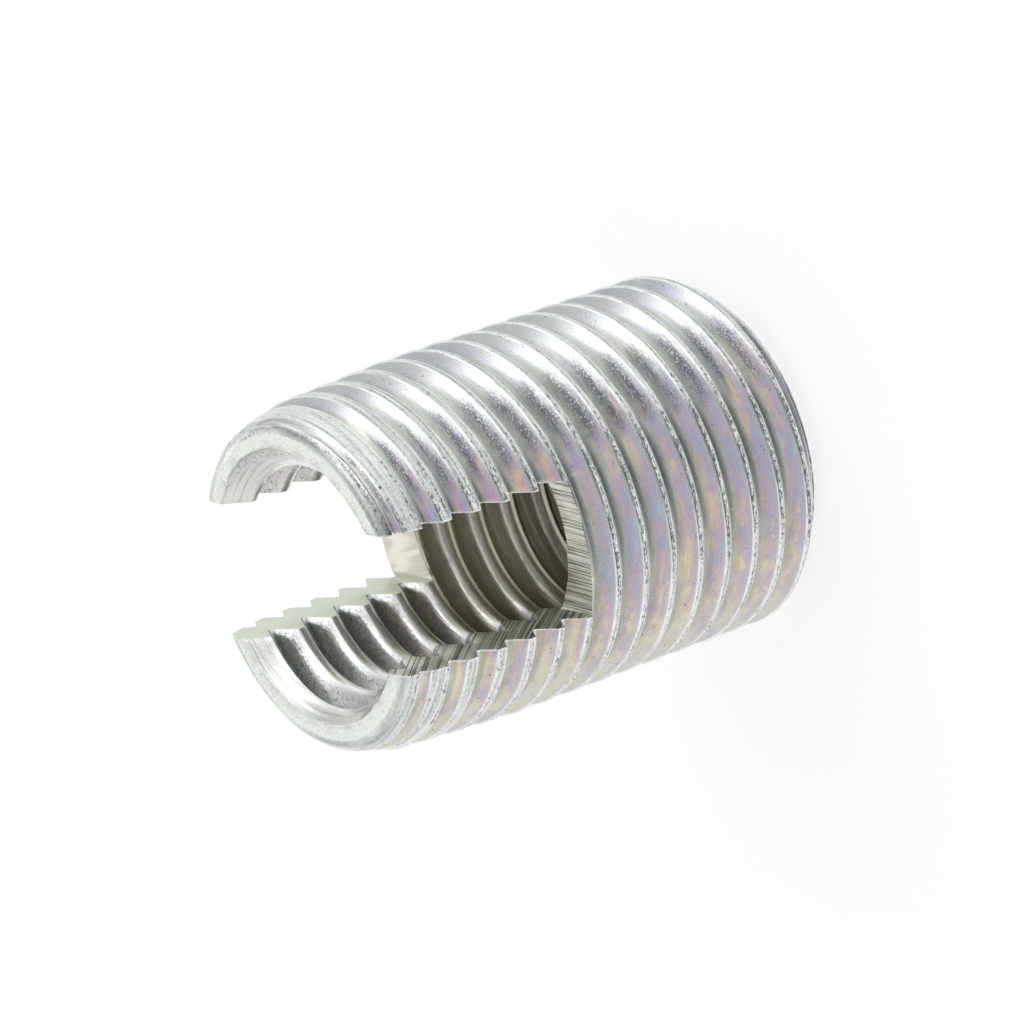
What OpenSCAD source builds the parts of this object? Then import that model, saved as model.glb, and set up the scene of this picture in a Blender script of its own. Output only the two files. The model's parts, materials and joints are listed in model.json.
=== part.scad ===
// Slotted self-cutting threaded insert: one turned steel sleeve with a coarse thread outside, a metric
// thread right through it, and a slot milled across one end. The ends of the turns along the slot are
// the edges that cut their own thread as the insert is driven in, slotted end first.
// It stands on its plain end, with its axis along Z. The slot runs along Y.

/* [Sleeve] */
// Length between the end faces
length = 22; // [14:0.5:32]
// Chamfer round the plain end, at 45 degrees
base_chamfer = 0.9; // [0.3:0.1:1.2]

/* [Outer thread] */
// Diameter over the crests
outer_d = 16; // [15.8:0.1:20]
// Distance from one turn to the next
outer_pitch = 1.5; // [1.2:0.05:1.8]
// Width of the flat on the crest
outer_crest = 0.25; // [0.2:0.05:0.35]
// Radius of the round root
outer_round = 0.15; // [0.1:0.05:0.2]
// Height of a crest's middle over the plain end, on the +X side
outer_start = -0.05; // [-0.6:0.05:0.6]

/* [Lead] */
// Length over which the crests are turned down towards the slotted end
lead_len = 7.5; // [4:0.5:12]
// How much smaller than outer_d the crests are where the nose begins
lead_drop = 0.6; // [0.2:0.1:1]
// Length of the nose, which is steeper
nose_len = 2; // [1:0.25:3]
// How much smaller than outer_d the nose is at the end face
nose_drop = 1.7; // [1.4:0.1:2.2]
// Radius of the edge round the slotted end
nose_round = 0.6; // [0.1:0.05:0.8]

/* [Inner thread] */
// Nominal diameter of the screw that it takes
inner_d = 12; // [8:0.1:12.2]
// Distance from one turn to the next
inner_pitch = 1.75; // [1.25:0.05:2]
// Radius of the round root
inner_round = 0.05; // [0.04:0.01:0.1]
// Height of a crest's middle over the plain end, on the +X side
inner_start = -0.05; // [-0.6:0.05:0.6]
// Depth of the countersink in the slotted end, at 45 degrees
nose_sink = 0.95; // [0.3:0.05:1]
// Depth of the countersink in the plain end, at 45 degrees
base_sink = 0.95; // [0.3:0.05:1]

/* [Slot] */
// Width of the slot
slot_w = 6; // [3:0.1:8]
// Depth of the slot from the slotted end
slot_depth = 9.3; // [4:0.1:12]

/* [Hidden] */
outer_r = outer_d / 2;
// angle between a flank and a radius, half the thread's own 60 degrees
flank = 30;
// basic metric profile: a nut's crest lies 5/8 of the sharp profile's height inside the nominal
// diameter, and is a quarter of the pitch wide
bore_r = inner_d / 2 - 5 / 8 * inner_pitch * cos(flank);
inner_crest = inner_pitch / 4;
// straight pieces in each turn of a thread, and round the root of each groove
turn_steps = 30;
outer_root_steps = 3;
inner_root_steps = 1;
nose_steps = 4;
// cutters run on past the surface that they cut by this much
past = 0.15;
$fn = 96;

// Outline of a thread groove as [radius, height] points, from its mouth of width mouth_w at mouth_r,
// down one flank, round the root and up the other. side is 1 where the groove goes in towards the
// axis and -1 where it goes out from a hole. The flanks run on past the mouth.
function groove_outline(mouth_r, mouth_w, root_round, root_steps, side) =
    let (centre = mouth_r - side * (mouth_w / 2 * cos(flank) - root_round) / sin(flank),
        far_r = mouth_r + side * past,
        far_w = mouth_w / 2 + past * tan(flank))
    [[far_r, side * far_w],
        for (i = [0 : root_steps])
            let (a = (90 - flank) * (1 - 2 * i / root_steps))
            [centre - side * root_round * cos(a), side * root_round * sin(a)],
        [far_r, -side * far_w]];

// A groove's outline swept up a right-hand helix, from under the plain end to over the slotted one.
// start is a crest's height at 0 degrees, and a groove lies half a pitch above its crest.
module groove(outline, pitch, start) {
    n = len(outline);
    half_w = abs(outline[0][1]);
    base = start + pitch / 2;
    first = floor((-half_w - base) / pitch * turn_steps);
    last = ceil((length + half_w - base) / pitch * turn_steps);
    points = [for (i = [first : last], p = outline)
        let (turn = i / turn_steps)
        [p[0] * cos(360 * turn), p[0] * sin(360 * turn), base + pitch * turn + p[1]]];
    sides = [for (i = [0 : last - first - 1], j = [0 : n - 1])
        let (a = i * n + j, b = i * n + (j + 1) % n)
        each [[a, b, b + n], [a, b + n, a + n]]];
    ends = [[for (j = [n - 1 : -1 : 0]) j], [for (j = [0 : n - 1]) (last - first) * n + j]];
    polyhedron(points, concat(sides, ends));
}

// The turned blank. From the plain end up: chamfer, full diameter, long slight taper, nose, round edge.
module blank() {
    lead_r = outer_r - lead_drop / 2;
    nose_r = outer_r - nose_drop / 2;
    nose_angle = atan((lead_r - nose_r) / nose_len);
    // the edge's arc is tangent to the nose and to the end face
    edge_r = nose_r - nose_round * tan((90 - nose_angle) / 2);
    rotate_extrude()
        polygon(concat(
            [[0, 0], [outer_r - base_chamfer, 0], [outer_r, base_chamfer],
                [outer_r, length - lead_len], [lead_r, length - nose_len]],
            [for (i = [0 : nose_steps])
                let (a = nose_angle + (90 - nose_angle) * i / nose_steps)
                [edge_r + nose_round * cos(a), length - nose_round + nose_round * sin(a)]],
            [[0, length]]));
}

module insert() {
    color("silver")
        difference() {
            blank();
            groove(groove_outline(outer_r, outer_pitch - outer_crest, outer_round, outer_root_steps, 1),
                outer_pitch, outer_start);
            translate([0, 0, -past])
                cylinder(r = bore_r, h = length + 2 * past);
            groove(groove_outline(bore_r, inner_pitch - inner_crest, inner_round, inner_root_steps, -1),
                inner_pitch, inner_start);
            translate([0, 0, length - nose_sink])
                cylinder(r1 = bore_r, r2 = bore_r + nose_sink + past, h = nose_sink + past);
            translate([0, 0, -past])
                cylinder(r1 = bore_r + base_sink + past, r2 = bore_r, h = base_sink + past);
            translate([-slot_w / 2, -outer_r - past, length - slot_depth])
                cube([slot_w, outer_d + 2 * past, slot_depth + past]);
        }
}

insert();
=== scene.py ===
"""Slotted self-cutting threaded insert: a turned steel sleeve, zinc plated, on a white table.

The sleeve's two threads are grown by Geometry Nodes, cut to length and slotted in mesh code, and plated
with procedural materials.
"""
import json
import math

import bmesh
import bpy
from mathutils import Matrix, Vector, noise


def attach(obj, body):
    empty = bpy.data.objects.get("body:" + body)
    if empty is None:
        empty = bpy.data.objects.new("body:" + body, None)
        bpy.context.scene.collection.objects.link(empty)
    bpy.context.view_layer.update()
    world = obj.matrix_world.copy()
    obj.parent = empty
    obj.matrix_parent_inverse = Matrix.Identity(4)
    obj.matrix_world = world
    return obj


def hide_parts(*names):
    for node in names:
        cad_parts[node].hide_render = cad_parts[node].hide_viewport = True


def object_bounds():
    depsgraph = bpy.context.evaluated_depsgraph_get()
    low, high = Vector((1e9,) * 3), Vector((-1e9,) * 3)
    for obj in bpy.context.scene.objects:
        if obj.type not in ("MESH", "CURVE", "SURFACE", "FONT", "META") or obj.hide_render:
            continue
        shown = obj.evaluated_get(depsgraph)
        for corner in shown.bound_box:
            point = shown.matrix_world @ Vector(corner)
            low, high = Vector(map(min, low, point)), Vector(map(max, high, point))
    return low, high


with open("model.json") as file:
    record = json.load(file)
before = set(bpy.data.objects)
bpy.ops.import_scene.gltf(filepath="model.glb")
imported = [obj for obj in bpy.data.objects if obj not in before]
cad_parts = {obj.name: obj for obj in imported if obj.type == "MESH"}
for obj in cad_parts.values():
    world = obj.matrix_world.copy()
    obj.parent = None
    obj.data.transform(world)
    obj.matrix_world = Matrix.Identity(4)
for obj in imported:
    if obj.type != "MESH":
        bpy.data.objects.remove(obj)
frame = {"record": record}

CAD_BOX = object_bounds()

bl_info = {
    "name": "Threaded Insert",
    "version": (1, 0, 0),
    "blender": (4, 5, 0),
    "location": "3D View > Sidebar > Insert",
    "description": "Makes a slotted self-cutting threaded insert and the table it stands on",
    "category": "Add Mesh",
}

MM = 0.001
SCREW_THREAD = next(m for m in frame["record"]["mounts"] if m["name"] == "screw_thread")

# the thread's flanks lean this far from a plane across the axis
FLANK = math.radians(30)

# material slots of the sleeve's mesh
OUTER, INNER, WALL, FLOOR, END = range(5)

MATH = "ShaderNodeMath"
VECTOR = "ShaderNodeVectorMath"
RANGE = "ShaderNodeMapRange"
MIX = "ShaderNodeMix"
NOISE = "ShaderNodeTexNoise"


# ---------------------------------------------------------------- settings

def linear(code):
    """A linear RGBA colour from an sRGB hex code such as "C8C6BE"."""
    parts = [int(code[i:i + 2], 16) / 255 for i in (0, 2, 4)]
    return tuple(c / 12.92 if c <= 0.04045 else ((c + 0.055) / 1.055) ** 2.4 for c in parts) + (1.0,)


def distance(name, description, default, minimum=0.0):
    return bpy.props.FloatProperty(
        name=name, description=description, default=default, min=minimum,
        unit="LENGTH", subtype="DISTANCE", precision=5)


def colour(name, description, code):
    return bpy.props.FloatVectorProperty(
        name=name, description=description, default=linear(code), min=0, max=1, size=4,
        subtype="COLOR")


class SleeveSettings(bpy.types.PropertyGroup):
    """Sizes of the turned blank and of its slot"""
    length: distance("Length", "Length between the end faces", CAD_BOX[1].z - CAD_BOX[0].z)
    base_chamfer: distance("Base chamfer", "Chamfer round the plain end", 0.9 * MM)
    lead_len: distance("Lead length", "Length over which the crests are turned down", 7.5 * MM)
    lead_radius: distance("Lead radius", "Radius over the crests where the nose begins", 7.7 * MM)
    nose_len: distance("Nose length", "Length of the steeper nose", 2.0 * MM)
    nose_radius: distance("Nose radius", "Radius of the slotted end", 7.15 * MM)
    nose_round: distance("Nose rounding", "Radius of the edge round the slotted end", 0.6 * MM)
    sink: distance("Countersink", "Depth of the countersink at either end", 0.95 * MM)
    slot_width: distance("Slot width", "Distance between the walls of the slot", 6.0 * MM)
    slot_floor: distance("Slot floor", "Height of the slot's floor over the plain end", 12.7 * MM)
    edge_break: distance("Edge break", "Width of the broken edges along the cuts", 0.035 * MM)


class ThreadSettings(bpy.types.PropertyGroup):
    """Sizes of one thread"""
    pitch: distance("Pitch", "Distance from one turn to the next", 1.5 * MM)
    radius: distance("Crest radius", "Radius at the crests", 8.0 * MM)
    crest: distance("Crest width", "Width of the flat on the crest", 0.25 * MM)
    root_round: distance("Root radius", "Radius of the round root", 0.15 * MM)
    edge_round: distance("Edge rounding", "Depth over which the crests' edges are rounded", 0.1 * MM)
    start: distance("Start", "Height of a crest on the +X side", -0.05 * MM, minimum=-1.0)
    columns: bpy.props.IntProperty(
        name="Columns", description="Faces round each turn", default=200, min=24)


class PlateSettings(bpy.types.PropertyGroup):
    """Colours of the plating"""
    bright: colour("Bright plate", "Plating on the crests and round edges", "E8EBEA")
    # this colour also paints the highlight along the crests' edges and the slot's edges
    edge: colour("Rubbed edge and highlight", "Plating rubbed bright, and painted highlight, along the edges of the crests", "FAFBFC")
    pit: colour("Pits", "Fine dark pits in the plating", "5A6063")
    root: colour("Roots", "Thicker film in the roots of the threads", "DDDFDA")
    end: colour("End faces", "Dull plating on the turned end faces", "FAFCF8")
    floor: colour("Slot floor", "Plating on the milled floor", "F1EEE2")
    wall: colour("Slot walls", "Plating on the milled walls", "DCE2D4")
    bore: colour("Bore", "Plating on the inner thread", "F3F2EE")


# ---------------------------------------------------------------- nodes

def add(tree, kind, inputs=(), stops=(), **settings):
    """Adds a node, sets its properties and fills its inputs.

    inputs fills the usable sockets in order, or by name when it is a dict. A value is a number, a
    colour, an output socket, or a node, which stands for its first usable output. stops are the
    (position, hex code) pairs of a colour ramp.
    """
    node = tree.nodes.new(kind)
    for name, value in settings.items():
        setattr(node, name, value)
    for i, (position, code) in enumerate(stops):
        ramp = node.color_ramp.elements
        stop = ramp[i] if i < 2 else ramp.new(position)
        stop.position = position
        stop.color = linear(code)
    usable = [s for s in node.inputs if s.enabled]
    if isinstance(inputs, dict):
        pairs = [(next(s for s in usable if s.name == name), value) for name, value in inputs.items()]
    else:
        pairs = zip(usable, inputs)
    for socket, value in pairs:
        if isinstance(value, bpy.types.Node):
            value = next(s for s in value.outputs if s.enabled)
        if isinstance(value, bpy.types.NodeSocket):
            tree.links.new(value, socket)
        else:
            socket.default_value = value
    return node


def blank_radius(n, height, lines, pick, mouth):
    """The turned blank's radius at a height: mouth, cut back by each (height, radius, slope) line."""
    radius = mouth
    for line_height, line_radius, slope in lines:
        offset = n(MATH, (height, line_height), operation="SUBTRACT")
        cut = n(MATH, (offset, slope, line_radius), operation="MULTIPLY_ADD")
        radius = n(MATH, (radius, cut), operation=pick)
    return radius


def thread_tree(name, side, lines):
    """Geometry Nodes for the skin of a threaded blank, one pitch wide and wound up a helix.

    side is 1 for a thread outside a blank and -1 for one inside a hole. lines are the straight cuts
    that turn the crests down, each as (height, radius there, change of radius with height).
    """
    tree = bpy.data.node_groups.new(name, "GeometryNodeTree")
    face = tree.interface
    face.new_socket("Geometry", in_out="OUTPUT", socket_type="NodeSocketGeometry")
    for label in ("Length", "Pitch", "Crest Radius", "Crest Width", "Root Radius", "Start", "Softness"):
        socket = face.new_socket(label, in_out="INPUT", socket_type="NodeSocketFloat")
        socket.subtype = "DISTANCE"
    face.new_socket("Columns", in_out="INPUT", socket_type="NodeSocketInt")
    face.new_socket("Material", in_out="INPUT", socket_type="NodeSocketMaterial")

    def n(kind, inputs=(), **settings):
        return add(tree, kind, inputs, **settings)

    given = n("NodeGroupInput").outputs
    pitch, mouth, soft = given["Pitch"], given["Crest Radius"], given["Softness"]

    # a grid one turn long for each unit of X, and one row of faces for each unit of Y
    rows = 16
    turns_up = n(MATH, (given["Length"], pitch), operation="DIVIDE")
    turns = n(MATH, (n(MATH, (turns_up, 3.0), operation="ADD"),), operation="CEIL")
    below = n(MATH, (n(MATH, (given["Start"], pitch), operation="DIVIDE"), -1.0), operation="MULTIPLY")
    first = n(MATH, (n(MATH, (below,), operation="FLOOR"), 1.0), operation="SUBTRACT")
    columns = n(MATH, (turns, given["Columns"], 1.0), operation="MULTIPLY_ADD")
    grid = n("GeometryNodeMeshGrid", {
        "Size X": turns, "Size Y": float(rows), "Vertices X": columns, "Vertices Y": rows + 1})
    place = n("ShaderNodeSeparateXYZ", (n("GeometryNodeInputPosition"),)).outputs
    middle = n(MATH, (turns, 0.5, first), operation="MULTIPLY_ADD")
    turn = n(MATH, (middle, place[0]), operation="ADD")
    up = n(MATH, (place[1],), operation="SIGN")
    row = n(MATH, (n(MATH, (place[1],), operation="ABSOLUTE"),), operation="ROUND")
    crest_height = n(MATH, (pitch, turn, given["Start"]), operation="MULTIPLY_ADD")
    half_crest = n(MATH, (given["Crest Width"], 0.5), operation="MULTIPLY")
    half_pitch = n(MATH, (pitch, 0.5), operation="MULTIPLY")

    # where the flank meets the turned blank: each pass starts from the last one's answer
    pick, soft_pick = ("MINIMUM", "SMOOTH_MIN") if side > 0 else ("MAXIMUM", "SMOOTH_MAX")
    edge = half_crest
    for _ in range(5):
        height = n(MATH, (up, edge, crest_height), operation="MULTIPLY_ADD")
        blank = blank_radius(n, height, lines, pick, mouth)
        cut = n(MATH, (mouth, blank), operation="SUBTRACT")
        edge = n(MATH, (cut, side * math.tan(FLANK), half_crest), operation="MULTIPLY_ADD")
    edge = n(MATH, (edge, n(MATH, (half_pitch, 0.94), operation="MULTIPLY")), operation="MINIMUM")

    # rows: two on the crest, three round its edge, the rest down the flank and round the root
    flank = n(MATH, (half_pitch, edge), operation="SUBTRACT")
    ease = n(MATH, (n(MATH, (soft, math.tan(FLANK)), operation="MULTIPLY"),
                    n(MATH, (flank, 0.3), operation="MULTIPLY")), operation="MINIMUM")
    before = n(MATH, (n(MATH, (edge, ease), operation="SUBTRACT"), 0.0), operation="MAXIMUM")
    after = n(MATH, (edge, ease), operation="ADD")
    rest = n(MATH, (half_pitch, after), operation="SUBTRACT")
    steps = [0.0, n(MATH, (before, 0.5), operation="MULTIPLY"), before, edge, after]
    steps += [n(MATH, (rest, share, after), operation="MULTIPLY_ADD") for share in (0.39, 0.78, 0.89, 1.0)]
    switch = n("GeometryNodeIndexSwitch", data_type="FLOAT")
    while len(switch.index_switch_items) < len(steps):
        switch.index_switch_items.new()
    tree.links.new(row.outputs[0], switch.inputs[0])
    for i, value in enumerate(steps):
        if isinstance(value, float):
            switch.inputs[i + 1].default_value = value
        else:
            tree.links.new(value if isinstance(value, bpy.types.NodeSocket) else value.outputs[0],
                           switch.inputs[i + 1])
    away = switch.outputs[0]
    height = n(MATH, (up, away, crest_height), operation="MULTIPLY_ADD")

    # groove: a round root, tangent to straight flanks
    ball = given["Root Radius"]
    mouth_half = n(MATH, (half_pitch, half_crest), operation="SUBTRACT")
    sharp = n(MATH, (n(MATH, (mouth_half, math.cos(FLANK)), operation="MULTIPLY"), ball), operation="SUBTRACT")
    depth = n(MATH, (sharp, math.sin(FLANK)), operation="DIVIDE")
    centre = n(MATH, (depth, -side, mouth), operation="MULTIPLY_ADD")
    from_root = n(MATH, (half_pitch, away), operation="SUBTRACT")
    on_ball = n(MATH, (from_root, n(MATH, (ball, math.cos(FLANK)), operation="MULTIPLY")), operation="MINIMUM")
    under = n(MATH, (n(MATH, (ball, ball), operation="MULTIPLY"),
                     n(MATH, (on_ball, on_ball), operation="MULTIPLY")), operation="SUBTRACT")
    drop = n(MATH, (under,), operation="SQRT")
    rise = n(MATH, (n(MATH, (from_root, on_ball), operation="SUBTRACT"), math.tan(FLANK)), operation="DIVIDE")
    fall = n(MATH, (drop, rise), operation="SUBTRACT")
    groove = n(MATH, (fall, -side, centre), operation="MULTIPLY_ADD")
    blank = blank_radius(n, height, lines, pick, mouth)
    radius = n(MATH, (groove, blank, soft), operation=soft_pick)

    angle = n(MATH, (turn, math.tau), operation="MULTIPLY")
    point = n("ShaderNodeCombineXYZ", (
        n(MATH, (radius, n(MATH, (angle,), operation="COSINE")), operation="MULTIPLY"),
        n(MATH, (radius, n(MATH, (angle,), operation="SINE")), operation="MULTIPLY"),
        height))
    # what the plating follows, in mm: the way from the crest's edge, and how far down the flank. They are
    # stored before the grid is wound up, because they come from where its points start
    gap = n(MATH, (n(MATH, (away, edge), operation="SUBTRACT"), 1 / MM), operation="MULTIPLY")
    share = n(MATH, (n(MATH, (away, edge), operation="SUBTRACT"), flank), operation="DIVIDE")
    skin = grid
    for label, value in (("crest_gap", gap), ("flank_share", share)):
        skin = n("GeometryNodeStoreNamedAttribute", {"Geometry": skin, "Name": label, "Value": value},
                 data_type="FLOAT", domain="POINT")
    skin = n("GeometryNodeSetPosition", {"Geometry": skin, "Position": point})
    skin = n("GeometryNodeMergeByDistance", {"Geometry": skin, "Distance": 0.003 * MM})
    skin = n("GeometryNodeRealizeInstances", {"Geometry": skin})
    skin = n("GeometryNodeSetMaterial", {"Geometry": skin, "Material": given["Material"]})
    n("NodeGroupOutput", (skin,))
    return tree


def grown(name, tree, inputs):
    """The mesh that a tree makes, as plain data."""
    holder = bpy.data.objects.new(name, bpy.data.meshes.new(name))
    bpy.context.scene.collection.objects.link(holder)
    modifier = holder.modifiers.new(name, "NODES")
    modifier.node_group = tree
    for item in tree.interface.items_tree:
        if item.in_out == "INPUT" and item.name in inputs:
            modifier[item.identifier] = inputs[item.name]
    bpy.context.view_layer.update()
    evaluated = holder.evaluated_get(bpy.context.evaluated_depsgraph_get())
    mesh = bpy.data.meshes.new_from_object(evaluated)
    holder.modifiers.remove(modifier)
    bpy.data.objects.remove(holder)
    bpy.data.node_groups.remove(tree)
    return mesh


# ---------------------------------------------------------------- the sleeve's cuts

def snap_and_cut(bm, axis, value, faces, clear=0):
    """Cuts faces along the plane where a coordinate has a value. Vertices that nearly touch it move onto it.

    clear is 1 to delete what lies past the plane, -1 to delete what lies before it, and 0 to keep both.
    """
    near = 0.03 * MM
    for vert in {v for f in faces for v in f.verts}:
        if abs(vert.co[axis] - value) < near:
            radius = vert.co.xy.length
            vert.co[axis] = value
            if axis == 0:
                vert.co.y = math.copysign(math.sqrt(radius ** 2 - value ** 2), vert.co.y)
    normal = Vector((0, 0, 0))
    normal[axis] = 1
    geom = list(faces)
    geom += list({e for f in faces for e in f.edges})
    geom += list({v for f in faces for v in f.verts})
    bmesh.ops.bisect_plane(bm, geom=geom, dist=0.0002 * MM, plane_co=normal * value, plane_no=normal,
                           clear_outer=clear > 0, clear_inner=clear < 0)


def close_cuts(bm, wall_x, floor, top):
    """Joins the two skins along the corners of the cuts and fills each flat opening.

    Returns a list of faces for each plane: the two walls, the slot's floor, the slotted end, the plain end.
    """
    touch = 0.001 * MM
    between = 6.3 * MM
    bmesh.ops.remove_doubles(bm, verts=[v for v in bm.verts if v.is_boundary], dist=0.002 * MM)
    rims = [v for v in bm.verts if v.is_boundary]
    for y_sign in (-1, 1):
        for x in (-wall_x, wall_x):
            for z in (top, floor):
                at = [v for v in rims if abs(v.co.x - x) < touch and abs(v.co.z - z) < touch
                      and v.co.y * y_sign > 0]
                inner = max((v for v in at if v.co.xy.length < between), key=lambda v: v.co.xy.length)
                outer = min((v for v in at if v.co.xy.length > between), key=lambda v: v.co.xy.length)
                bm.edges.new((inner, outer))
    flats = []
    for axis, value, facing in ((0, -wall_x, 1), (0, wall_x, -1), (2, floor, 1), (2, top, 1), (2, 0.0, -1)):
        normal = Vector((0, 0, 0))
        normal[axis] = facing
        edges = [e for e in bm.edges if len(e.link_faces) < 2
                 and all(abs(v.co[axis] - value) < touch for v in e.verts)]
        made = bmesh.ops.triangle_fill(bm, edges=edges, use_beauty=True, normal=normal)["geom"]
        flats.append([f for f in made if isinstance(f, bmesh.types.BMFace)])
    return flats


def inset_flat(bm, faces, width):
    """Makes a ring inside a flat, held back wherever it would fold over or run far."""
    normal = faces[0].normal.copy()
    old = set(bm.verts)
    ring = bmesh.ops.inset_region(bm, faces=faces, thickness=width, use_even_offset=False,
                                  use_boundary=True)["faces"]
    homes = {}
    for v in set(bm.verts) - old:
        homes[v] = min((e.other_vert(v) for e in v.link_edges if e.other_vert(v) in old),
                       key=lambda w: (w.co - v.co).length)
        if (v.co - homes[v].co).length > 2 * width:
            v.co = homes[v].co + (v.co - homes[v].co).normalized() * 2 * width
    for _ in range(8):
        folded = set()
        for f in {f for v in homes for f in v.link_faces}:
            f.normal_update()
            if f.normal.dot(normal) < 0.5:
                folded.update(v for v in f.verts if v in homes)
        for v in folded:
            v.co = homes[v].co + (v.co - homes[v].co) * 0.5
    return ring


def break_edges(bm, flats, width, keep):
    """Breaks the edges round flat faces: a narrow ring inside each flat, whose outer side sinks.

    flats are lists of faces that share a plane. keep tells which vertices stay where they are.
    """
    sinks = {}
    for faces in flats:
        normal = faces[0].normal.copy()
        inside = set(faces)
        for v in {v for f in faces for v in f.verts if any(g not in inside for g in v.link_faces)}:
            sinks.setdefault(v, []).append(normal)
    for faces in flats:
        for share in (1.0, 0.4):
            inset_flat(bm, faces, width * share)
    for v, normals in sinks.items():
        if keep(v.co, normals):
            continue
        push = sum(normals, Vector()) * (-1.0 if len(normals) == 1 else -0.5)
        near = [abs((e.other_vert(v).co - v.co).dot(push.normalized())) for e in v.link_edges]
        room = min((d for d in near if d > 0.004 * MM), default=width)
        rough = 0.75 + 0.5 * noise.noise(v.co / (0.5 * MM))
        step = min(width * rough, room * 0.6)
        radius = v.co.xy.length
        v.co += push * step
        if abs(push.x) > abs(push.z):
            v.co.y = math.copysign(math.sqrt(max(radius ** 2 - v.co.x ** 2, 0.0)), v.co.y)


def build_sleeve_mesh(sleeve, outer, inner):
    """The finished sleeve as a mesh: two threaded skins, cut to length, slotted, closed and edges broken."""
    top = sleeve.length
    nose_slope = (sleeve.nose_radius - sleeve.lead_radius) / sleeve.nose_len
    lead_slope = (sleeve.lead_radius - outer.radius) / (sleeve.lead_len - sleeve.nose_len)
    outer_lines = [(0.0, outer.radius - sleeve.base_chamfer, 1.0),
                   (top - sleeve.lead_len, outer.radius, lead_slope),
                   (top, sleeve.nose_radius, nose_slope)]
    inner_lines = [(0.0, inner.radius + sleeve.sink, -1.0),
                   (top, inner.radius + sleeve.sink, 1.0)]
    bm = bmesh.new()
    for part, (name, side, thread, lines) in enumerate((
            ("outer thread", 1, outer, outer_lines), ("inner thread", -1, inner, inner_lines))):
        mesh = grown(name, thread_tree(name, side, lines), {
            "Length": sleeve.length, "Pitch": thread.pitch, "Crest Radius": thread.radius,
            "Crest Width": thread.crest, "Root Radius": thread.root_round, "Start": thread.start,
            "Softness": thread.edge_round, "Columns": thread.columns})
        before = len(bm.faces)
        bm.from_mesh(mesh)
        bm.faces.ensure_lookup_table()
        for f in bm.faces[before:]:
            f.material_index = part
            f.smooth = True
        bpy.data.meshes.remove(mesh)
    wall_x = sleeve.slot_width / 2
    floor = sleeve.slot_floor
    snap_and_cut(bm, 2, 0.0, bm.faces[:], clear=-1)
    snap_and_cut(bm, 2, top, bm.faces[:], clear=1)
    ball = sleeve.nose_round
    for share in (1.0, 0.75, 0.5, 0.25, 0.08):
        ring = [f for f in bm.faces
                if f.material_index == OUTER and f.calc_center_median().z > top - 2 * ball]
        snap_and_cut(bm, 2, top - ball * share, ring)
    # the edge round the slotted end
    nose_angle = math.atan(-nose_slope)
    edge_r = sleeve.nose_radius - ball * math.tan((math.pi / 2 - nose_angle) / 2)
    for v in bm.verts:
        above = v.co.z - (top - ball)
        radius = v.co.xy.length
        if above > ball * math.sin(nose_angle) and radius > edge_r:
            allowed = edge_r + math.sqrt(max(ball ** 2 - above ** 2, 0.0))
            if radius > allowed:
                v.co.xy *= allowed / radius
    snap_and_cut(bm, 2, floor, bm.faces[:])
    for x in (-wall_x, wall_x):
        snap_and_cut(bm, 0, x, [f for f in bm.faces if f.calc_center_median().z > floor])
    gone = [f for f in bm.faces
            if f.calc_center_median().z > floor and abs(f.calc_center_median().x) < wall_x]
    bmesh.ops.delete(bm, geom=gone, context="FACES")
    bmesh.ops.delete(bm, geom=[v for v in bm.verts if not v.link_faces], context="VERTS")

    flats = close_cuts(bm, wall_x, floor, top)
    for faces, slot in zip(flats, (WALL, WALL, FLOOR, END, END)):
        for f in faces:
            f.smooth = True
            f.material_index = slot
    bmesh.ops.recalc_face_normals(bm, faces=bm.faces[:])

    def keep(place, normals):
        flat_end = abs(place.z - top) < 0.001 * MM and place.xy.length > 6.2 * MM and len(normals) == 1
        corner = len(normals) > 1 and abs(place.z - floor) < 0.001 * MM
        return flat_end or corner

    break_edges(bm, flats, sleeve.edge_break, keep)
    for v in bm.verts:
        v.co = [min(max(c, low), high) for c, low, high in zip(v.co, *CAD_BOX)]
    bmesh.ops.dissolve_degenerate(bm, dist=0.0005 * MM, edges=bm.edges[:])
    mesh = bpy.data.meshes.new("sleeve")
    bm.to_mesh(mesh)
    bm.free()
    return mesh


# ---------------------------------------------------------------- materials

def new_material(name):
    """An empty material and a function that adds nodes to it."""
    material = bpy.data.materials.new(name)
    material.use_nodes = True
    tree = material.node_tree
    tree.nodes.clear()

    def n(kind, inputs=(), **settings):
        return add(tree, kind, inputs, **settings)

    return material, n


def in_mm(n):
    """Object coordinates in millimetres, and the same split into x, y and z."""
    mm = n(VECTOR, (n("ShaderNodeTexCoord").outputs["Object"], 1 / MM), operation="SCALE")
    return mm, n("ShaderNodeSeparateXYZ", (mm,)).outputs


def towards(n, mm, degrees, wide, narrow):
    """1 where the surface lies at an angle round the axis, fading to 0 at the cosine called wide."""
    flat = n(VECTOR, (mm, (1.0, 1.0, 0.0)), operation="MULTIPLY")
    out = n(VECTOR, (flat,), operation="NORMALIZE")
    a = math.radians(degrees)
    near = n(VECTOR, (out, (math.cos(a), math.sin(a), 0.0)), operation="DOT_PRODUCT").outputs["Value"]
    return n(RANGE, (near, wide, narrow), interpolation_type="SMOOTHSTEP")


def film(n, thickness):
    """Interference tints of a clear film on zinc, from a thin one to a thick one."""
    return n("ShaderNodeValToRGB", (thickness,), stops=(
        (0.0, "F0F1E9"), (1.0, "E6EAE8"), (0.13, "F4EFD2"), (0.27, "ECE1D0"), (0.41, "E0D0D4"),
        (0.55, "D4CDDD"), (0.70, "CDD0E2"), (0.85, "D0DCE2")))


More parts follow.
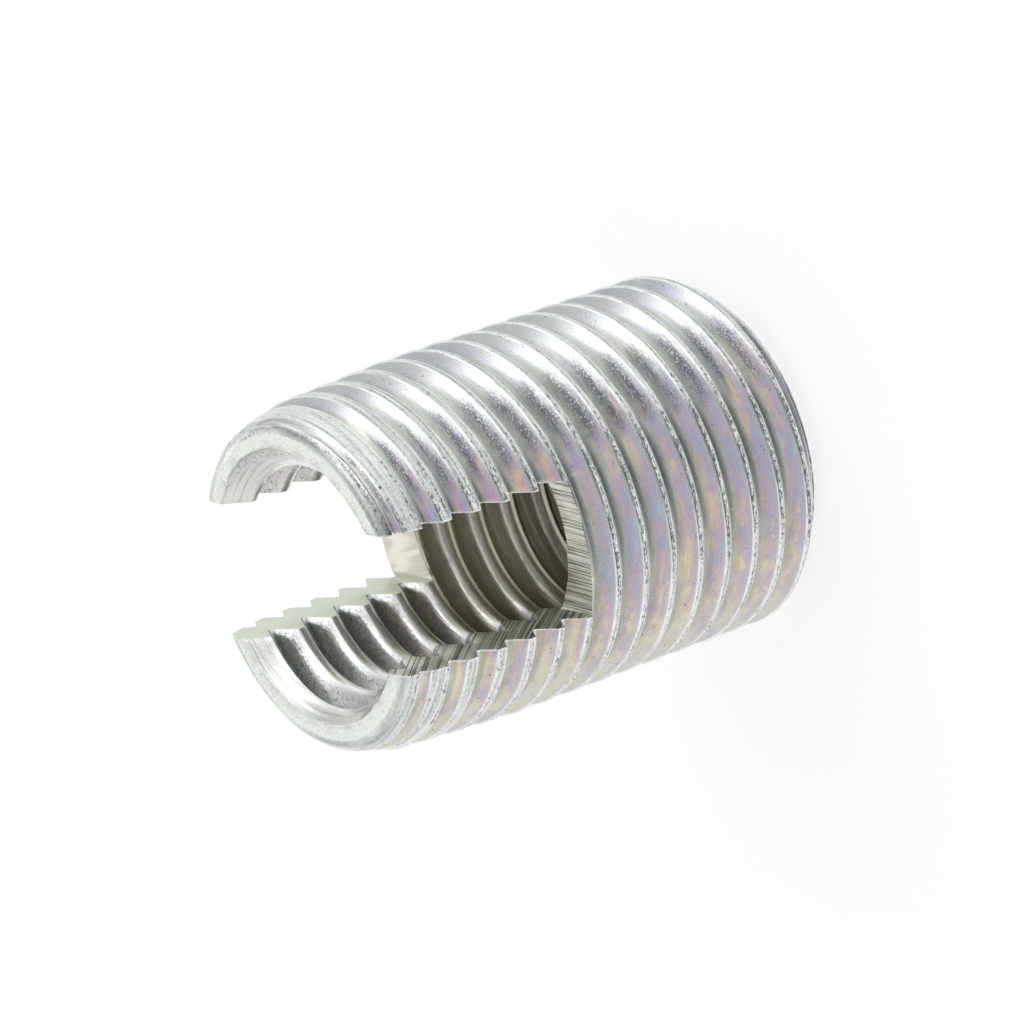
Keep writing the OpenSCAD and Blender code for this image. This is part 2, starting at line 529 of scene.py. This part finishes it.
def plated(n, material, base, roughness, height, depth):
    """Finishes a plated material: metal with a colour, a roughness and a bumpy surface depth mm deep."""
    bump = n("ShaderNodeBump", {"Strength": 1.0, "Distance": depth * MM, "Height": height})
    shader = n("ShaderNodeBsdfPrincipled", {
        "Base Color": base, "Metallic": 1.0, "Roughness": roughness, "Normal": bump})
    n("ShaderNodeOutputMaterial", {"Surface": shader})
    return material


def outer_plate(plate, sleeve):
    """Zinc plated and clear passivated turned steel: bright and rainbow tinted, with pitted matt crests."""
    material, n = new_material("zinc plated turned steel")
    mm, (x, y, z) = in_mm(n)
    gap = n("ShaderNodeAttribute", attribute_name="crest_gap").outputs["Fac"]
    share = n("ShaderNodeAttribute", attribute_name="flank_share").outputs["Fac"]
    crest = n(RANGE, (gap, 0.03, -0.04), interpolation_type="SMOOTHSTEP")

    # patches of thicker and thinner film some 3 mm across, with streaks 0.3 mm wide round the sleeve
    patch = n(NOISE, (mm, 0.33, 3.0, 0.55))
    stretched = n(VECTOR, (mm, (0.35, 0.35, 3.2)), operation="MULTIPLY")
    streak = n(NOISE, (stretched, 1.0, 5.0, 0.7))
    blot = n(NOISE, (mm, 1.4, 2.0, 0.5))
    thickness = n(MATH, (share, -0.42, 0.62), operation="MULTIPLY_ADD")
    mottle = n(NOISE, (stretched, 3.2, 3.0, 0.65))
    for field, gain in ((patch, 0.9), (streak, 1.2), (blot, 0.5), (mottle, 0.6)):
        centred = n(MATH, (field, 0.5), operation="SUBTRACT")
        thickness = n(MATH, (centred, gain, thickness), operation="MULTIPLY_ADD")
    thin = towards(n, mm, 212, 0.75, 0.95)
    thickness = n(MATH, (thin, -0.25, thickness), operation="MULTIPLY_ADD")
    tint = film(n, n(MATH, (towards(n, mm, 0, 0.8, 0.97), 0.2, thickness), operation="MULTIPLY_ADD"))

    # and deepest beside one wall of the slot, where the passivate drained
    half_slot = sleeve.slot_width / 2 / MM
    slotted = n(MATH, (z, sleeve.slot_floor / MM), operation="GREATER_THAN")
    drained = n(RANGE, (n(MATH, (x, half_slot), operation="SUBTRACT"), 1.6, 0.2, 1.0, 1.6),
                interpolation_type="SMOOTHSTEP")
    right = n(MATH, (slotted, n(MATH, (x, 0.0), operation="GREATER_THAN")), operation="MULTIPLY")
    drained = n(MATH, (n(MATH, (drained, right), operation="MULTIPLY"), 1.0), operation="MAXIMUM")
    tint = n("ShaderNodeHueSaturation", {"Saturation": drained, "Color": tint})

    # the film shows most over the slot's near side, and washes out towards the ends of its arc
    strong = towards(n, mm, 268, 0.3, 0.9)
    faint = n(RANGE, (n(NOISE, (mm, 0.2, 1.0, 0.5)), 0.42, 0.62, 0.2, 0.6), interpolation_type="SMOOTHSTEP")
    amount = n(MATH, (strong, faint), operation="MAXIMUM")
    amount = n(MATH, (amount, n(RANGE, (share, 0.02, 0.22, 0.6, 1.0))), operation="MULTIPLY")
    flank = n(MIX, (amount, plate.bright, tint), data_type="RGBA")

    # roots hold more film: olive, and darker; lowest in the roots round 282 degrees there is painted shadow
    rooted = n(RANGE, (share, 0.36, 0.62), interpolation_type="SMOOTHSTEP")
    stain = n(MIX, (n(RANGE, (streak, 0.35, 0.65)), plate.root, linear("BEC1B9")), data_type="RGBA")
    base = n(MIX, (rooted, flank, stain), data_type="RGBA")
    # painted shadow: the lowest part of the roots, on the side round 282 degrees, darkened as if shaded by the crest
    # in front
    root_shadow = n(MATH, (n(RANGE, (share, 0.62, 0.76)), towards(n, mm, 282, 0.88, 0.98)), operation="MULTIPLY")
    base = n(MIX, (n(MATH, (root_shadow, 0.6), operation="MULTIPLY"), base, linear("7B8185")), data_type="RGBA")

    # crests: matt, with dark pits under 0.1 mm across, some drawn out round the sleeve, thick where the
    # crest is narrow and few on the wide crests of the nose, which keep fine tool lines instead
    squeezed = n(VECTOR, (mm, (0.6, 0.6, 1.2)), operation="MULTIPLY")
    grain = n(NOISE, (squeezed, 9.5, 3.0, 0.75))
    worn = n(RANGE, (blot, 0.35, 0.6, 0.0, 0.06), interpolation_type="SMOOTHSTEP")
    # painted shade and light: more pits round 281 degrees darken the crests as painted shade, fewer round 345
    # degrees brighten them as painted light
    scuffed_and_shaded = n(RANGE, (towards(n, mm, 281, 0.82, 0.97), 0.0, 1.0, 0.0, 0.07))
    narrow = n(RANGE, (gap, -0.28, -0.1, -0.13, 0.0), interpolation_type="SMOOTHSTEP")
    clean_and_lit = n(RANGE, (towards(n, mm, 345, 0.85, 0.97), 0.0, 1.0, 0.0, -0.05))
    depth = grain
    for field in (worn, scuffed_and_shaded, narrow, clean_and_lit):
        depth = n(MATH, (depth, field), operation="ADD")
    pits = n(RANGE, (depth, 0.60, 0.66), interpolation_type="SMOOTHSTEP")
    tool = n(NOISE, (n(VECTOR, (mm, (0.25, 0.25, 9.0)), operation="MULTIPLY"), 1.0, 3.0, 0.6))
    dull = n(MIX, (n(RANGE, (tool, 0.35, 0.6)), linear("B2B8B6"), plate.bright), data_type="RGBA")
    shade = n(MIX, (n(RANGE, (grain, 0.5, 0.38, 0.0, 0.5)), dull, linear("FAFBFB")), data_type="RGBA")
    pitted = n(MIX, (n(MATH, (pits, 0.85), operation="MULTIPLY"), shade, plate.pit), data_type="RGBA")
    base = n(MIX, (crest, base, pitted), data_type="RGBA")

    # on the upper side, round 325 degrees, a thin dark line runs along the middle of the narrow crests
    middle = n(MATH, (n(RANGE, (gap, -0.07, -0.1)), n(RANGE, (gap, -0.2, -0.14))), operation="MULTIPLY")
    middle = n(MATH, (middle, towards(n, mm, 325, 0.8, 0.93)), operation="MULTIPLY")
    base = n(MIX, (n(MATH, (middle, 0.22), operation="MULTIPLY"), base, linear("5A605F")), data_type="RGBA")

    # a painted dark reflection: a dark line under the front edge of the crests round 281 degrees, where they reflect
    # the shadowed table
    facing = n("ShaderNodeSeparateXYZ", (n("ShaderNodeTexCoord").outputs["Normal"],)).outputs[2]
    painted_dark_edge = n(RANGE, (n(MATH, (n(MATH, (gap, 0.03), operation="ADD"),), operation="ABSOLUTE"), 0.045, 0.02))
    painted_dark_edge = n(MATH, (painted_dark_edge, n(RANGE, (facing, -0.1, 0.1))), operation="MULTIPLY")
    painted_dark_edge = n(MATH, (painted_dark_edge, towards(n, mm, 281, 0.86, 0.97)), operation="MULTIPLY")
    painted_dark_edge = n(MATH, (painted_dark_edge, n(RANGE, (mottle, 0.38, 0.5))), operation="MULTIPLY")
    base = n(MIX, (n(MATH, (painted_dark_edge, 0.75), operation="MULTIPLY"), base, linear("3E4448")), data_type="RGBA")

    # rubbed lines along both edges of the crest, broken here and there, and a painted highlight: wider on the rear
    # edge
    from_edge = n(MATH, (gap,), operation="ABSOLUTE")
    highlight_reach = n(RANGE, (facing, -0.1, 0.1, 1.7, 1.0))
    line = n(RANGE, (n(MATH, (from_edge, highlight_reach), operation="DIVIDE"), 0.045, 0.015), interpolation_type="SMOOTHSTEP")
    line = n(MATH, (line, n(MATH, (1.0, painted_dark_edge), operation="SUBTRACT")), operation="MULTIPLY")
    whole = n(RANGE, (mottle, 0.36, 0.5), interpolation_type="SMOOTHSTEP")
    base = n(MIX, (n(MATH, (line, whole), operation="MULTIPLY"), base, plate.edge), data_type="RGBA")

    # a bright line along the slot's walls: the burr the cutter left, and a painted highlight of the broken edge
    past = n(MATH, (n(MATH, (x,), operation="ABSOLUTE"), half_slot), operation="SUBTRACT")
    burr_and_highlight = n(RANGE, (past, 0.09, 0.03), interpolation_type="SMOOTHSTEP")
    burr_and_highlight = n(MATH, (burr_and_highlight, slotted), operation="MULTIPLY")
    base = n(MIX, (n(MATH, (burr_and_highlight, whole), operation="MULTIPLY"), base, plate.edge), data_type="RGBA")

    # painted dark reflection: grey sparkling patches on the flanks of the upper side, round 317 degrees, where they
    # face the dim room overhead
    speck = n(NOISE, (mm, 11.0, 2.0, 0.7))
    ragged = n(MATH, (n(MATH, (mottle, 0.5), operation="SUBTRACT"), 0.5, share), operation="MULTIPLY_ADD")
    painted_dark_reflection = towards(n, mm, 317, 0.95, 0.996)
    painted_dark_reflection = n(MATH, (painted_dark_reflection, n(RANGE, (streak, 0.3, 0.55), interpolation_type="SMOOTHSTEP")), operation="MULTIPLY")
    painted_dark_reflection = n(MATH, (painted_dark_reflection, n(RANGE, (ragged, 0.05, 0.3))), operation="MULTIPLY")
    painted_dark_reflection = n(MATH, (painted_dark_reflection, n(RANGE, (ragged, 0.68, 0.42))), operation="MULTIPLY")
    painted_dark_reflection = n(MATH, (painted_dark_reflection, n(MATH, (1.0, crest), operation="SUBTRACT")), operation="MULTIPLY")
    reflection_grey = n(MIX, (n(RANGE, (speck, 0.56, 0.62)), linear("7A8188"), linear("FBFCFC")), data_type="RGBA")
    base = n(MIX, (n(MATH, (painted_dark_reflection, 0.85), operation="MULTIPLY"), base, reflection_grey), data_type="RGBA")

    # a sprinkle of single pits everywhere
    dots = n(RANGE, (n(NOISE, (mm, 7.5, 1.0, 0.5)), 0.72, 0.76), interpolation_type="SMOOTHSTEP")
    base = n(MIX, (n(MATH, (dots, 0.7), operation="MULTIPLY"), base, plate.pit), data_type="RGBA")

    # knocks where the film is rubbed thin show pale yellow
    knock = n(NOISE, (n(VECTOR, (mm, (2.4, 2.4, 1.0)), operation="MULTIPLY"), 1.0, 1.0, 0.5))
    knock = n(RANGE, (knock, 0.71, 0.75), interpolation_type="SMOOTHSTEP")
    knock = n(MATH, (knock, towards(n, mm, 240, 0.8, 0.93)), operation="MULTIPLY")
    base = n(MIX, (n(MATH, (knock, 0.7), operation="MULTIPLY"), base, linear("F6F1DA")), data_type="RGBA")

    rough = n(MATH, (crest, 0.08, 0.26), operation="MULTIPLY_ADD")
    rough = n(MATH, (n(MATH, (grain, 0.5), operation="SUBTRACT"), 0.2, rough), operation="MULTIPLY_ADD")
    lines = n(NOISE, (n(VECTOR, (mm, (0.3, 0.3, 16.0)), operation="MULTIPLY"), 1.0, 2.0, 0.5))
    height = n(MATH, (lines, 0.3), operation="MULTIPLY")
    height = n(MATH, (n(MATH, (pits, crest), operation="MULTIPLY"), -0.9, height), operation="MULTIPLY_ADD")
    height = n(MATH, (n(MATH, (speck, painted_dark_reflection), operation="MULTIPLY"), 1.3, height), operation="MULTIPLY_ADD")
    height = n(MATH, (n(NOISE, (mm, 14.0, 2.0, 0.6)), 0.3, height), operation="MULTIPLY_ADD")
    return plated(n, material, base, rough, height, 0.012)


def inner_plate(plate):
    """Zinc plated tapped thread: smoother, with darker olive deeper in, and painted brown shade deepest in the bore.
    """
    material, n = new_material("zinc plated tapped steel")
    mm, (x, y, z) = in_mm(n)
    gap = n("ShaderNodeAttribute", attribute_name="crest_gap").outputs["Fac"]
    share = n("ShaderNodeAttribute", attribute_name="flank_share").outputs["Fac"]
    crest = n(RANGE, (gap, 0.03, -0.05), interpolation_type="SMOOTHSTEP")
    patch = n(NOISE, (mm, 0.45, 3.0, 0.55))
    blot = n(NOISE, (mm, 2.2, 3.0, 0.6))
    stretched = n(VECTOR, (mm, (0.3, 0.3, 5.0)), operation="MULTIPLY")
    streak = n(NOISE, (stretched, 1.0, 2.0, 0.5))
    thickness = n(MATH, (share, -0.5, 0.75), operation="MULTIPLY_ADD")
    for field, gain in ((patch, 1.0), (streak, 0.5)):
        centred = n(MATH, (field, 0.5), operation="SUBTRACT")
        thickness = n(MATH, (centred, gain, thickness), operation="MULTIPLY_ADD")
    tint = film(n, thickness)
    flank = n(MIX, (0.3, plate.bore, tint), data_type="RGBA")
    # deeper in the sleeve the colour turns olive and the crests darker; by the slot it is bright
    deep = n(RANGE, (z, 14.5, 11.5, 0.0, 1.0), interpolation_type="SMOOTHSTEP")
    flank = n(MIX, (n(MATH, (deep, 0.6), operation="MULTIPLY"), flank, linear("EAE8DA")), data_type="RGBA")
    stain = n(MIX, (deep, linear("CDD2D0"), linear("DFDCCC")), data_type="RGBA")
    base = n(MIX, (n(RANGE, (share, 0.5, 0.85), interpolation_type="SMOOTHSTEP"), flank, stain),
             data_type="RGBA")
    # and rough with dark specks, where the tap tore the steel
    grain = n(NOISE, (mm, 8.0, 3.0, 0.7))
    torn = n(MATH, (n(RANGE, (grain, 0.53, 0.62, 0.0, 0.6)), n(RANGE, (deep, 1.0, 0.0))), operation="MULTIPLY")
    torn = n(MATH, (torn, n(RANGE, (share, 0.1, 0.3))), operation="MULTIPLY")
    base = n(MIX, (torn, base, linear("6E757A")), data_type="RGBA")
    # grey smears where the tap dragged
    smear = n(MATH, (blot, n(MATH, (streak, 0.7), operation="MULTIPLY")), operation="ADD")
    base = n(MIX, (n(RANGE, (smear, 0.9, 1.1, 0.0, 0.5)), base, linear("AEB6B8")), data_type="RGBA")
    # painted shade: where no light reaches, deepest in the bore, it is brown
    below = n(RANGE, (z, 8.0, 5.5), interpolation_type="SMOOTHSTEP")
    base = n(MIX, (n(MATH, (below, 0.7), operation="MULTIPLY"), base, linear("77756A")), data_type="RGBA")
    top = n(MIX, (deep, linear("F2F2EE"), linear("DCD8C4")), data_type="RGBA")
    lines = n(NOISE, (n(VECTOR, (mm, (0.2, 0.2, 9.0)), operation="MULTIPLY"), 1.0, 3.0, 0.6))
    top = n(MIX, (n(RANGE, (lines, 0.52, 0.66, 0.0, 0.55)), top, linear("A7AFAB")), data_type="RGBA")
    base = n(MIX, (crest, base, top), data_type="RGBA")
    rough = n(MATH, (blot, 0.14, 0.16), operation="MULTIPLY_ADD")
    rough = n(MATH, (n(MATH, (crest, deep), operation="MULTIPLY"), 0.2, rough), operation="MULTIPLY_ADD")
    height = n(MATH, (lines, 1.0), operation="MULTIPLY")
    height = n(MATH, (grain, n(RANGE, (deep, 1.0, 0.0, 0.3, 1.0)), height), operation="MULTIPLY_ADD")
    return plated(n, material, base, rough, height, 0.01)


def milled_plate(name, pale, low, high, dark, across, slope, shade, spacing, rough):
    """Zinc plated milled steel: fine cutter lines, and painted light and shade that change along the face.

    Towards +y the face is painted smooth and pale, as painted light. Towards -y, across is the axis that the lines
    are spaced along, slope how far they lean over the other axis, dark their colour, and shade the
    axis and its two places, in mm, between which the colour of the face goes from low to high, as painted shade.
    """
    material, n = new_material(name)
    mm, place = in_mm(n)
    axis, start, end = shade
    # painted light towards +y, where the face goes pale and its lines fade; painted shade from low to high along the
    # shade axis, made uneven by noise
    near = n(RANGE, (place[1], 6.0, -4.5), interpolation_type="SMOOTHSTEP")
    blend = n(RANGE, (place[axis], start, end), interpolation_type="SMOOTHSTEP")
    blot = n(NOISE, (mm, 0.9, 3.0, 0.6))
    blend = n(MATH, (n(MATH, (blot, 0.5), operation="SUBTRACT"), 0.7, blend), operation="MULTIPLY_ADD")
    base = n(MIX, (near, pale, n(MIX, (blend, low, high), data_type="RGBA")), data_type="RGBA")

    # cutter lines, bowed a little, and uneven in width and depth
    other = place[2 if across == 1 else 1]
    walk = n(MATH, (other, slope, place[across]), operation="MULTIPLY_ADD")
    walk = n(MATH, (n(MATH, (other, other), operation="MULTIPLY"), 0.012, walk), operation="MULTIPLY_ADD")
    band = n("ShaderNodeCombineXYZ", (
        n(MATH, (walk, 1 / spacing), operation="MULTIPLY"), n(MATH, (other, 0.12), operation="MULTIPLY"), 0.0))
    line = n(NOISE, (band, 1.0, 2.0, 0.6))
    cut = n(MATH, (n(RANGE, (line, 0.5, 0.4), interpolation_type="SMOOTHSTEP"), near), operation="MULTIPLY")
    base = n(MIX, (cut, base, dark), data_type="RGBA")
    shine = n(MATH, (n(RANGE, (line, 0.54, 0.6), interpolation_type="SMOOTHSTEP"), near), operation="MULTIPLY")
    base = n(MIX, (shine, base, linear("FCFBF4")), data_type="RGBA")
    height = n(MATH, (n(NOISE, (mm, 11.0, 2.0, 0.6)), 0.25, line), operation="MULTIPLY_ADD")
    return plated(n, material, base, n(MATH, (line, 0.2, rough), operation="MULTIPLY_ADD"), height, 0.02)


def end_plate(plate):
    """Zinc plated turned end faces: matt and pale, with faint rings and dark specks."""
    material, n = new_material("zinc plated faced steel")
    mm, place = in_mm(n)
    radius = n(VECTOR, (n(VECTOR, (mm, (1.0, 1.0, 0.0)), operation="MULTIPLY"),),
               operation="LENGTH").outputs["Value"]
    blot = n(NOISE, (mm, 1.3, 3.0, 0.6))
    rings = n(NOISE, (n("ShaderNodeCombineXYZ", (n(MATH, (radius, 7.0), operation="MULTIPLY"), 0.0, 0.0)),
                      1.0, 2.0, 0.6))
    tone = n(MATH, (rings, n(MATH, (blot, 0.5), operation="MULTIPLY")), operation="ADD")
    base = n(MIX, (n(RANGE, (tone, 0.55, 0.95)), linear("F4F7F2"), plate.end), data_type="RGBA")
    frost = n(NOISE, (mm, 9.0, 3.0, 0.7))
    base = n(MIX, (n(RANGE, (frost, 0.56, 0.34, 0.0, 0.5)), base, linear("B9C0B9")), data_type="RGBA")
    specks = n(RANGE, (n(NOISE, (mm, 7.0, 2.0, 0.6)), 0.62, 0.69), interpolation_type="SMOOTHSTEP")
    base = n(MIX, (n(MATH, (specks, 0.4), operation="MULTIPLY"), base, plate.pit), data_type="RGBA")
    rough = n(MATH, (blot, 0.2, 0.3), operation="MULTIPLY_ADD")
    height = n(MATH, (frost, 1.0, rings), operation="MULTIPLY_ADD")
    return plated(n, material, base, rough, height, 0.018)


# ---------------------------------------------------------------- operators

class INSERT_OT_sleeve(bpy.types.Operator):
    """Make the threaded sleeve with its slot"""
    bl_idname = "insert.sleeve"
    bl_label = "Sleeve"

    def execute(self, context):
        scene = context.scene
        plate = scene.insert_plate
        mesh = build_sleeve_mesh(scene.insert_sleeve, scene.insert_outer, scene.insert_inner)
        mesh.materials.append(outer_plate(plate, scene.insert_sleeve))
        mesh.materials.append(inner_plate(plate))
        # painted shade: the walls darken towards the slot's floor, the floor towards the wall at -x
        mesh.materials.append(milled_plate(
            "zinc plated milled walls", plate.wall, linear("EEF1EA"), linear("BEC4B8"), linear("7E8579"),
            1, 0.55, (2, 20.0, 14.0), 0.16, 0.4))
        mesh.materials.append(milled_plate(
            "zinc plated milled floor", plate.floor, linear("C9CDBC"), plate.floor, linear("7A7F6C"),
            0, 0.12, (0, -3.0, 0.5), 0.07, 0.3))
        mesh.materials.append(end_plate(plate))
        mesh.set_sharp_from_angle(angle=math.radians(50))
        piece = bpy.data.objects.new("threaded_sleeve", mesh)
        scene.collection.objects.link(piece)
        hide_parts("insert")
        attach(piece, "root")
        return {"FINISHED"}


def pointing(azimuth, elevation):
    """The unit vector towards a direction given in degrees."""
    a, e = math.radians(azimuth), math.radians(elevation)
    return Vector((math.cos(a) * math.cos(e), math.sin(a) * math.cos(e), math.sin(e)))


def soft_box(name, azimuth, elevation, away, width, radiance):
    """A square lamp of a brightness, aimed at the middle of the sleeve from a direction."""
    data = bpy.data.lights.new(name, "AREA")
    data.size = width
    data.energy = radiance * 4 * width ** 2
    out = pointing(azimuth, elevation)
    lamp = bpy.data.objects.new(name, data)
    lamp.location = Vector((0, 0, 11 * MM)) + out * away
    lamp.rotation_euler = out.to_track_quat("Z", "Y").to_euler()
    bpy.context.scene.collection.objects.link(lamp)


class INSERT_OT_stage(bpy.types.Operator):
    """Make the table, the lights and the camera"""
    bl_idname = "insert.stage"
    bl_label = "Stage"

    def execute(self, context):
        scene = context.scene
        bpy.ops.mesh.primitive_plane_add(size=2.0, location=(0, 0, 0))
        table = context.object
        table.name = "table"
        # white card: its own shade, lifted towards white for the eye and in reflections
        material, n = new_material("white card")
        card = n("ShaderNodeBsdfDiffuse", {"Color": linear("F7F7F7")})
        glow = n("ShaderNodeEmission", {"Color": (1, 1, 1, 1), "Strength": 1.18})
        path = n("ShaderNodeLightPath").outputs
        seen = n(MATH, (path["Is Camera Ray"], path["Is Glossy Ray"]), operation="MAXIMUM")
        lift = n(MATH, (seen, 0.62), operation="MULTIPLY")
        n("ShaderNodeOutputMaterial", {"Surface": n("ShaderNodeMixShader", (lift, card, glow))})
        table.data.materials.append(material)

        # the room: bright all round, brightest at the right, dimmer overhead, to the left and by the camera
        world = bpy.data.worlds.new("studio")
        scene.world = world
        world.use_nodes = True
        tree = world.node_tree
        tree.nodes.clear()
        way = add(tree, "ShaderNodeTexCoord").outputs["Generated"]
        level = 0.95
        for azimuth, elevation, wide, narrow, gain in (
                (0, 90, 0.62, 0.88, 0.64), (288, 34, 0.8, 0.95, 0.3), (68, 27, 0.85, 0.97, 0.6),
                (5, 28, 0.72, 0.93, 1.35), (150, 22, 0.8, 0.95, 0.76), (107, 32, 0.9, 0.98, 1.22)):
            near = add(tree, VECTOR, (way, pointing(azimuth, elevation)), operation="DOT_PRODUCT")
            lobe = add(tree, RANGE, (near.outputs["Value"], wide, narrow, 1.0, gain),
                       interpolation_type="SMOOTHSTEP")
            level = add(tree, MATH, (level, lobe), operation="MULTIPLY")
        glow = add(tree, "ShaderNodeBackground", {"Color": (1, 1, 1, 1), "Strength": level})
        add(tree, "ShaderNodeOutputWorld", {"Surface": glow})
        soft_box("window", 36, 54, 0.45, 0.22, 0.7)

        camera = bpy.data.cameras.new("camera")
        camera.lens = 221.3
        camera.sensor_width = 36
        camera.clip_start = 0.01
        eye = bpy.data.objects.new("camera", camera)
        side = Vector((-0.1535, -0.6008, -0.7846)).normalized()
        back = Vector((0.2603, -0.7905, 0.5544)).normalized()
        up = back.cross(side).normalized()
        side = up.cross(back)
        turn = Matrix((side, up, back)).transposed().to_4x4()
        eye.matrix_world = Matrix.Translation(Vector((70.17, -212.79, 160.15)) * MM) @ turn
        scene.collection.objects.link(eye)
        scene.camera = eye
        scene.view_settings.view_transform = "Standard"
        return {"FINISHED"}


class INSERT_PT_panel(bpy.types.Panel):
    """Sizes, colours and steps of the threaded insert"""
    bl_idname = "INSERT_PT_panel"
    bl_label = "Threaded Insert"
    bl_space_type = "VIEW_3D"
    bl_region_type = "UI"
    bl_category = "Insert"

    def draw(self, context):
        scene = context.scene
        for title, group in (("Sleeve", scene.insert_sleeve), ("Outer thread", scene.insert_outer),
                             ("Inner thread", scene.insert_inner), ("Plating", scene.insert_plate)):
            box = self.layout.box()
            box.label(text=title)
            for name in group.__annotations__:
                box.prop(group, name)
        self.layout.operator(INSERT_OT_stage.bl_idname)
        self.layout.operator(INSERT_OT_sleeve.bl_idname)


CLASSES = (SleeveSettings, ThreadSettings, PlateSettings, INSERT_OT_sleeve, INSERT_OT_stage, INSERT_PT_panel)
GROUPS = {"insert_sleeve": SleeveSettings, "insert_outer": ThreadSettings,
          "insert_inner": ThreadSettings, "insert_plate": PlateSettings}


def register():
    for cls in CLASSES:
        bpy.utils.register_class(cls)
    for name, group in GROUPS.items():
        setattr(bpy.types.Scene, name, bpy.props.PointerProperty(type=group))


def unregister():
    for name in GROUPS:
        delattr(bpy.types.Scene, name)
    for cls in reversed(CLASSES):
        bpy.utils.unregister_class(cls)


def main():
    register()
    inner = bpy.context.scene.insert_inner
    inner.pitch = 1.75 * MM
    inner.radius = SCREW_THREAD["dims"]["r_mm"] * MM
    inner.crest = inner.pitch / 4
    inner.root_round = 0.05 * MM
    inner.edge_round = 0.3 * MM
    inner.columns = 144
    bpy.ops.insert.stage()
    bpy.ops.insert.sleeve()


if __name__ == "__main__":
    main()
